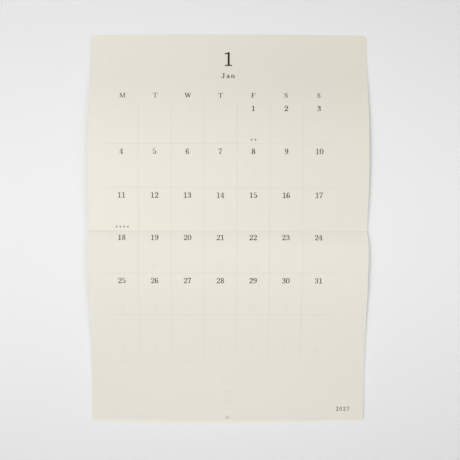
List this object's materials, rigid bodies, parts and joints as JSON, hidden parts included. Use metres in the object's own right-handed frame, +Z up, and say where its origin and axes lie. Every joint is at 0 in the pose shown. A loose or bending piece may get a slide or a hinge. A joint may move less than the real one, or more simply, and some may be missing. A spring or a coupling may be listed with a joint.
{
  "type": "wall calendar",
  "caption": "Booklet wall calendar of cream uncoated paper, open at a month page and hung from a punched hole; nested sheets are stapled at the fold and bow gently off the wall.",
  "frame": {"origin": "on the axis of the hanging hole, in the plane of the wall", "axes": "+Z up, the printed front faces -Y, +X to the reader's right"},
  "size_m": [0.297, 0.0144, 0.4193],
  "materials": {
    "paper": "cream uncoated, matt",
    "staple_wire": "drawn and galvanised"
  },
  "bodies": {
    "root": {"outer_sheet": "paper", "inner_sheets": "paper", "staples": "staple_wire"}
  },
  "joints": []
}
